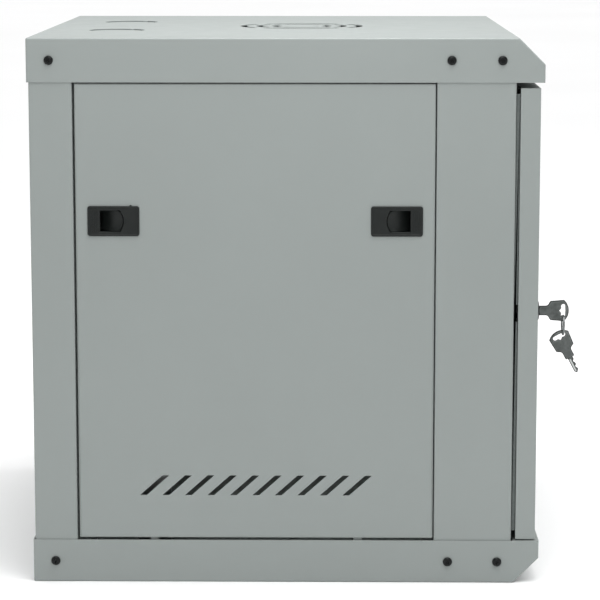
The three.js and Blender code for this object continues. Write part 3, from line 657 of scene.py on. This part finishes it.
def side_panel(side):
    """A pressed pan: face with vents and latch holes, a folded flange all round, and two tabs."""
    y0, y1 = from_rear(PANEL["front"]), from_rear(PANEL["rear"])
    z0, z1 = PANEL["bottom"], PANEL["top"]
    t, fold, depth = PANEL["sheet"], PANEL_FOLD, PANEL["flange"]
    outline = rounded(rectangle(y0, y1, z0, z1), PANEL_CORNER, 4)
    holes = vent_slots()
    for u in (PANEL["rear"] + LATCH_FROM_EDGE, PANEL["front"] - LATCH_FROM_EDGE):
        y = from_rear(u)
        half_width, half_height = LATCH_HOLE["half_width"], LATCH_HOLE["half_height"]
        sides = rectangle(y - half_width, y + half_width, LATCH_Z - half_height, LATCH_Z + half_height)
        holes.append(rounded(sides, LATCH_HOLE["radius"], 4))
    holes = [counter_clockwise(hole) for hole in holes]
    build = Build()

    def ring(inset, inward, loop=outline):
        return build.ring([(-BODY_SIDE + inward, y, z) for y, z in grown(loop, -inset)])

    # Over the outer fold, down the flange, back up its inside and round the inner fold.
    outer = [(fold * (1 - math.sin(a)), fold * (1 - math.cos(a))) for a in quarter(4)]
    inner = [
        (t + (fold - t) * (1 - math.cos(a)), t + (fold - t) * (1 - math.sin(a))) for a in quarter(3)
    ]
    rings = [ring(inset, inward) for inset, inward in outer + [(0.0, depth), (t, depth)] + inner]
    for a, b in zip(rings, rings[1:]):
        build.bridge(a, b)
    fronts, backs = [], []
    for hole in holes:
        steps = [(-PANEL_EDGE, 0.0), (0.0, PANEL_EDGE), (0.0, t)]
        loops = [ring(g, h, hole) for g, h in steps]
        for a, b in zip(loops, loops[1:]):
            build.bridge(a, b)
        fronts.append(loops[0])
        backs.append(loops[-1])
    build.fill(rings[0], fronts)
    build.fill(rings[-1], backs)
    for u in LOCATING_TABS:
        tab = [(from_rear(u) + across, z) for across, z in TAB_OUTLINE]
        low, high = (-BODY_SIDE + depth for depth in TAB_DEPTHS)
        build.plate(rounded(tab, 0.4, 2), [], low, high, 0.2, along_x)
    name = f"side_panel_{side}_sheet"
    piece = new_object(name, build.mesh(name, panel_place(side), 50.0), GREY)
    even = piece.modifiers.new("even_normals", "WEIGHTED_NORMAL")
    even.keep_sharp = True
    return place(piece, f"side_panel_{side}", [f"side_panel_{side}"])


# ------------------------------------------------------------------ slide latches

LATCH = {"width": 60.0, "height": 35.0, "depth": 19.0, "radius": 3.0}
LATCH_SHELL = (27.7, 15.2)  # half sizes of the box behind the bezel
LATCH_CAVITY = {"half": (26.2, 12.9), "from": 2.4, "to": 17.5}
WINDOW = {"outer": 15.6, "bow": -7.6, "swell": 4.2, "half": 12.3}
GRIP_RIBS = (18.6, 20.8, 23.0, 25.2)
GRIP_RIB = {"half_width": 0.45, "half_height": 12.5, "radius": 0.4}
NIB = {"at": (-20.0, 17.4), "radius": 1.5}
THUMB_PAD = {"half": 11.9, "outer": 15.0, "bow": -7.2, "swell": 3.9, "foot": 15.6}
SCOOP = {"start": 0.9, "fall": 13.6, "power": 1.45, "lip": 1.5, "lip_length": 0.07, "cheek": 1.6}
CARRIAGE = (15.2, 17.2)  # how deep the slider's plate and tongue lie


def latch_frame(u, outwards):
    """From latch coordinates (a outwards to the panel's edge, b up, c inwards) to the left panel."""
    return lambda a, b, c: (-BODY_SIDE + c, from_rear(u) - outwards * a, LATCH_Z + b)


def latch_window():
    """The finger window: straight on its outer side, bowed towards the panel's middle."""
    half, outer = WINDOW["half"], WINDOW["outer"]
    steps = [k / 8 for k in range(8, -9, -1)]
    bow = [(WINDOW["bow"] - WINDOW["swell"] * math.cos(math.pi / 2 * t), half * t) for t in steps]
    return counter_clockwise([(outer, -half), (outer, half)] + bow)


def centred(half_width, half_height, radius):
    """A rounded rectangle about the latch's middle."""
    return rounded(rectangle(-half_width, half_width, -half_height, half_height), radius, 6)


def latch_housing(side, end, u, outwards, nib):
    """The bezel with its finger window, and the box behind it. One bezel of a pair has a nib."""
    lift = latch_frame(u, outwards)
    build = Build()
    outline = centred(LATCH["width"] / 2, LATCH["height"] / 2, LATCH["radius"])
    window = latch_window()

    def ring(loop, growth, depth):
        return build.ring([lift(a, b, depth) for a, b in (grown(loop, growth) if growth else loop)])

    # From behind the rim, over its rounded edge, down a small step to the field round the window.
    rim = [
        (0.0, -0.3), (0.0, -1.3), (-0.25, -1.75), (-0.75, -2.05), (-1.9, -2.1), (-2.25, -1.95),
        (-2.5, -1.5),
    ]
    rings = [ring(outline, g, c) for g, c in rim]
    for a, b in zip(rings, rings[1:]):
        build.bridge(a, b)
    brim = ((0.9, -1.5), (0.45, -1.35), (0.1, -0.9), (0.0, -0.3), (0.0, LATCH_CAVITY["from"]))
    lip = [ring(window, g, c) for g, c in brim]
    build.fill(rings[-1], [lip[0]])
    for a, b in zip(lip, lip[1:]):
        build.bridge(a, b)
    back = ring(outline, -0.6, -0.3)
    build.bridge(rings[0], back)
    shell_outline = centred(*LATCH_SHELL, 1.5)
    shell = ring(shell_outline, 0, -0.3)
    build.fill(back, [shell])
    chamfer = 0.6
    deep = ring(shell_outline, 0, LATCH["depth"] - chamfer)
    build.bridge(shell, deep)
    floor = ring(centred(*(half - chamfer for half in LATCH_SHELL), 1.0), 0, LATCH["depth"])
    build.bridge(deep, floor)
    build.fill(floor)
    # The cavity that the slider runs in.
    roof_outline = centred(*LATCH_CAVITY["half"], 0.6)
    roof = ring(roof_outline, 0, LATCH_CAVITY["from"])
    build.fill(roof, [lip[-1]])
    bed = ring(roof_outline, 0, LATCH_CAVITY["to"])
    build.bridge(roof, bed)
    build.fill(bed)
    # Faint grip ribs on the outer cheek.
    for a in GRIP_RIBS:
        width, height = GRIP_RIB["half_width"], GRIP_RIB["half_height"]
        rib = rounded(rectangle(a - width, a + width, -height, height), GRIP_RIB["radius"], 3)
        build.plate(rib, [], -1.85, -1.3, 0.2, lift)
    if nib:
        build.plate(circle(*NIB["at"], NIB["radius"], 16), [], -1.6, -0.5, 0.3, lift)
    name = f"latch_housing_{end}_{side}_moulding"
    piece = new_object(name, build.mesh(name, panel_place(side), 40.0), PLASTIC)
    return place(piece, f"side_panel_{side}", [f"latch_housing_{end}_{side}"])


def latch_slider(side, end, u, outwards):
    """The thumb piece: a scooped pad that deepens outwards, on a plate with the latch's tongue."""
    lift = latch_frame(u, outwards)
    build = Build()
    columns, rows = 14, 10
    outer = THUMB_PAD["outer"]
    grid = []
    for i in range(columns + 1):
        t = i / columns
        row = []
        for j in range(rows + 1):
            s = -1 + 2 * j / rows
            start = THUMB_PAD["bow"] - THUMB_PAD["swell"] * math.cos(math.pi / 2 * s)
            scoop = SCOOP["start"] + SCOOP["fall"] * (t ** SCOOP["power"])
            lip = SCOOP["lip"] * math.exp(-(t / SCOOP["lip_length"]) ** 2)
            side_rise = SCOOP["cheek"] * abs(s) ** 6 * (1 - 0.4 * t)
            row.append((start + (outer - start) * t, s * THUMB_PAD["half"], scoop - lip - side_rise))
        grid.append(row)
    top = [build.ring([lift(*p) for p in row]) for row in grid]
    for a, b in zip(top, top[1:]):
        build.bridge(a, b, closed=False)

    def round_the_edge(rows_of):
        first, last = rows_of[0], rows_of[-1]
        return [row[0] for row in rows_of] + last[1:] + [row[-1] for row in rows_of[-2::-1]] + first[-2:0:-1]

    foot = build.ring([lift(a, b, THUMB_PAD["foot"]) for a, b, _ in round_the_edge(grid)])
    build.bridge(round_the_edge(top), foot)
    build.fill(foot)
    carriage = rounded(rectangle(-22, 17, -12.4, 12.4), 1.0, 4)
    build.plate(carriage, [], *CARRIAGE, 0.3, lift)
    tongue = rounded([(15, -9), (28.6, -9), (31, -7.4), (31, 7.4), (28.6, 9), (15, 9)], 0.6, 3)
    build.plate(tongue, [], *CARRIAGE, 0.4, lift)
    name = f"latch_slider_{end}_{side}_moulding"
    piece = new_object(name, build.mesh(name, panel_place(side), 45.0), PLASTIC)
    return place(piece, f"latch_slider_{end}_{side}", [f"latch_slider_{end}_{side}"])


def latches():
    """Two latches on each panel. On the right, half round, the front one is the left's rear one."""
    spots = (
        ("rear", PANEL["rear"] + LATCH_FROM_EDGE, -1),
        ("front", PANEL["front"] - LATCH_FROM_EDGE, 1),
    )
    for side in ("left", "right"):
        for end, u, outwards in spots:
            seen = end if side == "left" else {"rear": "front", "front": "rear"}[end]
            latch_housing(side, seen, u, outwards, nib=(end == "rear"))
            latch_slider(side, seen, u, outwards)


# ------------------------------------------------------------------ screws


def screw_mesh():
    """A pan-head screw along +X from the tray's skirt, with a cross recess."""
    head = [
        (0, 0.3), (4.7, 0.3), (5.25, 0.42), (5.4, 0.8), (5.35, 1.5), (5.1, 2.2), (4.6, 2.8),
        (3.9, 3.22), (2.7, 3.38), (0, 3.4),
    ]
    shank = [(0, -11.7), (2.4, -11.7), (2.9, -11.0), (2.9, 0.35), (0, 0.35)]
    piece = new_object("screw_master", Build().turn(head, 40, along_x).mesh("screw", sharp=40.0), SCREW_BLACK)
    arm, width = 3.0, 0.62
    top, bottom, taper = 4.2, 1.4, 0.55
    cross = [
        (-width, -arm), (width, -arm), (width, -width), (arm, -width), (arm, width), (width, width),
        (width, arm), (-width, arm), (-width, width), (-arm, width), (-arm, -width), (-width, -width),
    ]
    recess = Build()
    wide = recess.ring([along_x(p, q, top) for p, q in cross])
    narrow = recess.ring([along_x(p * taper, q * taper, bottom) for p, q in cross])
    recess.bridge(wide, narrow)
    recess.fill(wide)
    recess.fill(narrow)
    cut(piece, recess.mesh("recess"))
    bm = bmesh.new()
    bm.from_mesh(piece.data)
    bm.from_mesh(Build().turn(shank, 24, along_x).mesh("shank"))
    bm.to_mesh(piece.data)
    bm.free()
    mesh = piece.data
    bpy.data.objects.remove(piece)
    mesh.shade_smooth()
    mesh.set_sharp_from_angle(angle=math.radians(40))
    return mesh


def screws():
    """The trays' screws, each with its recess turned another way."""
    master = screw_mesh()
    for sign, side in ((-1, "left"), (1, "right")):
        for z, level in ((BAND / 2, "bottom"), (HEIGHT - BAND / 2, "top")):
            for k, (u, where) in enumerate(zip(SCREWS_FROM_REAR, ("rear", "mid", "front"))):
                node = f"screw_{level}_{where}_{side}"
                turn = math.radians((37 * k + 19 * (sign + 1) + (11 if level == "top" else 0)) % 90)
                matrix = Matrix.Translation((sign * HALF_WIDTH * MM, from_rear(u) * MM, z * MM))
                if sign < 0:
                    matrix = matrix @ Matrix.Rotation(math.pi, 4, "Z")
                mesh = master.copy()
                mesh.transform(matrix @ Matrix.Rotation(turn, 4, "X"))
                place(new_object(f"{node}_head", mesh, SCREW_BLACK), "cabinet", [node])


# ------------------------------------------------------------------ door glass, lock and keys

LOCK_BORE = 5.7
KEYWAY = {"half_width": 1.5, "half_height": 3.4, "in": 19.0, "out": 6.0}
KEY = {
    "thick": 2.2,
    "shoulder": 34.7,
    "clear_of_door": 3.4,
    "edge": 0.28,
    # how far in from the outline the painted shade on each face reaches
    "painted_shade_width": 0.85,
    "panel": {"sink": 0.22, "slope": 0.5},
    "groove": {"sink": 0.5, "slope": 0.25},
    "collar": (0.9, 1.4),  # around the slot: its top and its foot
}
RING_MEAN = 11.0  # radius of the ring's middle line
RING_FROM_BOW = 6.6
RING_BELOW_LOCK = 6.1
SPARE_KEY_LEAN = 28.0
SPARE_KEY_HANG = (0.0, -6.1, 5.0)  # from the ring to the spare key's bow, before it is turned


def door_glass():
    """The pane, in the place of the CAD's block, with its edges ground."""
    low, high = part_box("door_glass")
    x0, x1, z0, z1 = (v / MM for v in (low.x, high.x, low.z, high.z))
    outline = rounded(rectangle(x0, x1, z0, z1), 4.0, 6)
    build = Build().plate(outline, [], low.y / MM, high.y / MM, 0.8, along_y)
    piece = new_object("door_glass_pane", build.mesh("door_glass_pane", sharp=30.0), GLASS)
    place(piece, "door", ["door_glass"])


def on_lock(p, q, h):
    """Lathe coordinates on the lock's axis, h outwards from the door's face."""
    return (LOCK_X + p, DOOR_FRONT_Y - h, LOCK_Z + q)


def lock_parts():
    """The barrel with its flange, and the plug with its keyway."""
    shell = [
        (LOCK_BORE, -33.0), (8.4, -33.0), (9.0, -32.4), (9.0, 0.3), (12.0, 0.3), (12.0, 1.2),
        (11.7, 1.6), (10.9, 2.4), (10.2, 2.7), (6.6, 2.7), (6.1, 2.4), (LOCK_BORE, 2.0),
        (LOCK_BORE, -33.0),
    ]
    build = Build().turn(shell, 48, on_lock)
    barrel = new_object("lock_barrel", build.mesh("lock_barrel"), DARK_METAL)
    place(barrel, "door", ["lock_housing"])
    plug = [
        (0, -43.4), (3.4, -43.4), (4.0, -42.8), (4.0, -35.1), (5.4, -35.1), (5.4, 2.5), (4.9, 3.0),
        (0, 3.0),
    ]
    piece = new_object("lock_core", Build().turn(plug, 40, on_lock).mesh("lock_core"), DARK_METAL)
    width, height = KEYWAY["half_width"], KEYWAY["half_height"]
    sides = rectangle(LOCK_X - width, LOCK_X + width, LOCK_Z - height, LOCK_Z + height)
    keyway = prism_mesh(
        rounded(sides, 0.3, 2), DOOR_FRONT_Y - KEYWAY["out"], DOOR_FRONT_Y + KEYWAY["in"], along_y,
    )
    cut(piece, keyway)
    piece.data.shade_smooth()
    piece.data.set_sharp_from_angle(angle=math.radians(35))
    place(piece, "lock_plug", ["lock_plug"])


def mirrored(points):
    """The points of a key's edge carried to its other side, in the opposite order."""
    return [(along, -across) for along, across in reversed(points)]


def key_piece(name, matrix):
    """A stamped key in (distance from the bow's end, distance across it).

    The faces marked below zero get painted shade, those above it a painted highlight.
    """
    bow = arc(16.8, 0, 16.8, 132, 228, 14)
    shoulder = [
        (21.5, -11.2), (22.6, -9.6), (23.6, -7.6), (25.2, -6.0), (27.0, -5.6), (KEY["shoulder"], -5.6),
    ]
    blade = [
        (KEY["shoulder"], -3.0), (38.0, -3.0), (39.6, -1.4), (41.4, -1.4), (43.0, -2.6), (44.8, -2.6),
        (46.4, -0.9), (48.2, -0.9), (49.8, -2.2), (51.2, -2.2), (54.5, 0.6), (52.1, 3.0),
        (KEY["shoulder"], 3.0),
    ]
    outline = rounded(bow + shoulder + blade + mirrored(shoulder), 0.45, 2)
    slot_half = [
        (4.2, -6.2), (5.0, -7.6), (6.6, -8.0), (8.4, -7.2), (9.2, -5.4), (8.9, -3.2), (9.6, -1.6),
        (11.0, -0.6),
    ]
    slot = rounded(slot_half + mirrored(slot_half) + [(3.9, 0.0)], 0.5, 3)
    # The bow's pressed panel, inside a raised rim.
    panel_half = [(20.8, -9.8), (22.6, -7.2), (24.6, -4.9), (27.0, -4.2), (33.6, -4.2)]
    panel = rounded(arc(16.8, 0, 15.2, 134, 226, 12) + panel_half + mirrored(panel_half), 0.5, 2)
    groove = rounded(rectangle(36.4, 52.4, 0.1, 2.2), 0.8, 4)
    outline, slot, panel, groove = (counter_clockwise(p) for p in (outline, slot, panel, groove))
    build = Build()
    half, edge = KEY["thick"] / 2, KEY["edge"]

    def ring(loop, growth, h):
        return build.ring([(h, p, q) for p, q in (grown(loop, growth) if growth else loop)])

    for loop, sign in ((outline, 1), (slot, -1)):
        steps = [(-half, -edge), (-half + edge, 0.0), (half - edge, 0.0), (half, -edge)]
        rims = [ring(loop, sign * g, h) for h, g in steps]
        since = len(build.faces)
        for a, b in zip(rims, rims[1:]):
            build.bridge(a, b)
        # Painted shade on the rounded edges round the outline and the slot, standing in for their dark
        # reflection.
        build.mark(since, -1.0)
        if sign > 0:
            outer = (rims[0], rims[-1])
        else:
            inner = (rims[0], rims[-1])
    for index, face in enumerate((-half, half)):
        floor = face - math.copysign(KEY["panel"]["sink"], face)
        deep = face - math.copysign(KEY["groove"]["sink"], face)
        lip, foot = ring(panel, 0, face), ring(panel, -KEY["panel"]["slope"], floor)
        collar, toe = (ring(slot, growth, h) for growth, h in zip(KEY["collar"], (face, floor)))
        top, bed = ring(groove, 0, face), ring(groove, -KEY["groove"]["slope"], deep)
        # A band of painted shade inside the outline on each face.
        painted_shade_band = ring(outline, -KEY["painted_shade_width"], face)
        since = len(build.faces)
        build.bridge(outer[index], painted_shade_band)
        build.mark(since, -0.85)
        build.fill(painted_shade_band, [lip, top])
        build.fill(collar, [inner[index]])
        build.fill(foot, [toe])
        # A faint painted highlight on the slopes round the bow's panel and round the slot.
        since = len(build.faces)
        build.bridge(lip, foot)
        build.bridge(collar, toe)
        build.mark(since, 0.1)
        # A painted highlight along the blade's groove.
        since = len(build.faces)
        build.bridge(top, bed)
        build.fill(bed)
        build.mark(since, 1.0)
    return new_object(name, build.mesh(name, matrix, 28.0), NICKEL)


def ring_piece(centre):
    """A split key ring: two close turns of half-flat wire in the plane across the door."""
    turns, per_turn, sections = 2, 56, 12
    pitch, wire_radial, wire_axial = 1.6, 1.0, 0.78
    build = Build()
    rings = []
    total = turns * per_turn
    for i in range(total + 1):
        angle = math.radians(70) + 2 * math.pi * i / per_turn
        along = (i / total - 0.5) * pitch
        taper = 0.55 if i in (0, total) else 1.0
        loop = []
        for k in range(sections):
            t = 2 * math.pi * k / sections
            r = RING_MEAN + wire_radial * taper * math.cos(t)
            y = along + wire_axial * taper * math.sin(t)
            loop.append((centre[0] + r * math.cos(angle), centre[1] + y, centre[2] + r * math.sin(angle)))
        rings.append(build.ring(loop))
    for a, b in zip(rings, rings[1:]):
        build.bridge(a, b)
    build.fill(rings[0])
    build.fill(rings[-1])
    piece = new_object("key_ring_coil", build.mesh("key_ring_coil", sharp=60.0), RING_STEEL)
    place(piece, "key_ring", ["key_ring"])


def keys():
    """The key in the lock, the ring through its bow and the spare key hanging from the ring."""
    bow_end = DOOR_FRONT_Y - KEY["clear_of_door"] - KEY["shoulder"]
    ring_y = bow_end + RING_FROM_BOW
    ring_top = LOCK_Z - RING_BELOW_LOCK
    ring_bottom = ring_top - 2 * RING_MEAN
    matrix = Matrix.Translation(Vector((LOCK_X, bow_end, LOCK_Z)) * MM)
    place(key_piece("key_in_lock", matrix), "key", ["key"])
    turn = Matrix.Rotation(-math.pi / 2 - math.radians(SPARE_KEY_LEAN), 4, "X")
    hang = Matrix.Translation(Vector(SPARE_KEY_HANG) * MM)
    matrix = Matrix.Translation(Vector((LOCK_X, ring_y, ring_bottom)) * MM) @ turn @ hang
    place(key_piece("key_spare", matrix), "spare_key", ["spare_key"])
    ring_piece((LOCK_X, ring_y, ring_top - RING_MEAN))


# ------------------------------------------------------------------ CAD nodes that keep their shape

# For each material slot: the material, and the width its edges are eased by.
FINISHES = {
    "grey_paint": (GREY, 0.45), "zinc_steel": (ZINC, 0.25), "lock_metal": (DARK_METAL, 0.2),
    "seal_rubber": (RUBBER, 0.2), "grey_foam": (FOAM, 0.6),
}
WELD_METRES = 1e-5
FLAT_WITHIN = math.radians(0.6)
EASED_BEYOND = math.radians(32)


def finish_cad_nodes():
    """The nodes that no piece replaces get their material and slightly eased edges."""
    slots = {entry["node"]: entry["material_slot"] for entry in frame["record"]["subparts"]}
    for name, node in NODES.items():
        if name in REPLACED:
            continue
        material, edge = FINISHES[slots[name]]
        node.data.materials.clear()
        node.data.materials.append(material)
        weld = node.modifiers.new("weld", "WELD")
        weld.merge_threshold = WELD_METRES
        flatten = node.modifiers.new("flatten", "DECIMATE")
        flatten.decimate_type = "DISSOLVE"
        flatten.angle_limit = FLAT_WITHIN
        ease = node.modifiers.new("ease", "BEVEL")
        ease.width = edge * MM
        ease.segments = 2
        ease.limit_method = "ANGLE"
        ease.angle_limit = EASED_BEYOND
        ease.harden_normals = False
        even = node.modifiers.new("even_normals", "WEIGHTED_NORMAL")
        even.keep_sharp = False


# ------------------------------------------------------------------ build

tray_piece("base_tray_pressing", "bottom_tray", top=False)
tray_piece("cover_tray_pressing", "top_tray", top=True)
side_panel("left")
side_panel("right")
latches()
screws()
door_glass()
lock_parts()
keys()
finish_cad_nodes()

# ------------------------------------------------------------------ stage

# Name, place, the point it aims at, width and height, watts.
SOFT_BOXES = (
    ("overhead", (-0.1, -0.05, 1.45), (0, 0, 0.64), (0.7, 0.7), 7.5),
    ("camera_side", (-0.85, -0.05, 1.15), (0, 0, 0.5), (0.7, 0.7), 3.4),
    ("far_side", (1.4, 1.7, 1.6), (0, 0, 0.4), (1.0, 1.0), 7),
    ("front", (0.6, -2.6, 2.6), (0, 0, 0.5), (1.4, 1.4), 18),
)
# The world is white at the horizon and greyer overhead: height, grey.
WORLD_FALL = ((0.0, 1.0), (0.3, 0.65), (0.8, 0.2))
WORLD_STRENGTH = 1.05
SKY = {"energy": 2.3, "spread": 60.0, "tilt": (8.0, -10.0)}


def make_floor():
    mesh = bpy.data.meshes.new("studio_floor")
    size = 40.0
    corners = [(-size, -size, 0), (size, -size, 0), (size, size, 0), (-size, size, 0)]
    mesh.from_pydata(corners, [], [(0, 1, 2, 3)])
    m = Nodes("studio_floor").set(Roughness=0.85)
    m.colour(m.ramp(m.noise(0.6, 2.0), [(0.3, (0.92, 0.92, 0.922)), (0.7, (0.94, 0.94, 0.942))]))
    floor = bpy.data.objects.new("studio_floor", mesh)
    mesh.materials.append(m.material)
    bpy.context.scene.collection.objects.link(floor)


def soft_box(name, location, target, size, energy):
    data = bpy.data.lights.new(name, "AREA")
    data.shape = "RECTANGLE"
    data.size, data.size_y = size
    data.energy = energy
    light = bpy.data.objects.new(name, data)
    light.location = location
    aim = Vector(target) - Vector(location)
    light.rotation_mode = "QUATERNION"
    light.rotation_quaternion = aim.to_track_quat("-Z", "Y")
    bpy.context.scene.collection.objects.link(light)


def make_light():
    world = bpy.data.worlds.new("studio")
    world.use_nodes = True
    nodes, links = world.node_tree.nodes, world.node_tree.links
    direction = nodes.new("ShaderNodeTexCoord")
    split = nodes.new("ShaderNodeSeparateXYZ")
    fall = nodes.new("ShaderNodeValToRGB")
    fall.color_ramp.elements.new(0.5)
    for element, (at, grey) in zip(fall.color_ramp.elements, WORLD_FALL):
        element.position = at
        element.color = (grey, grey, grey, 1.0)
    links.new(direction.outputs["Generated"], split.inputs["Vector"])
    links.new(split.outputs["Z"], fall.inputs["Fac"])
    links.new(fall.outputs["Color"], nodes["Background"].inputs["Color"])
    nodes["Background"].inputs["Strength"].default_value = WORLD_STRENGTH
    bpy.context.scene.world = world
    sky = bpy.data.lights.new("sky", "SUN")
    sky.energy = SKY["energy"]
    sky.angle = math.radians(SKY["spread"])
    lamp = bpy.data.objects.new("sky", sky)
    lamp.rotation_euler = (*(math.radians(turn) for turn in SKY["tilt"]), 0)
    bpy.context.scene.collection.objects.link(lamp)
    for box in SOFT_BOXES:
        soft_box(*box)


make_floor()
make_light()
bpy.context.scene.view_settings.view_transform = "Standard"
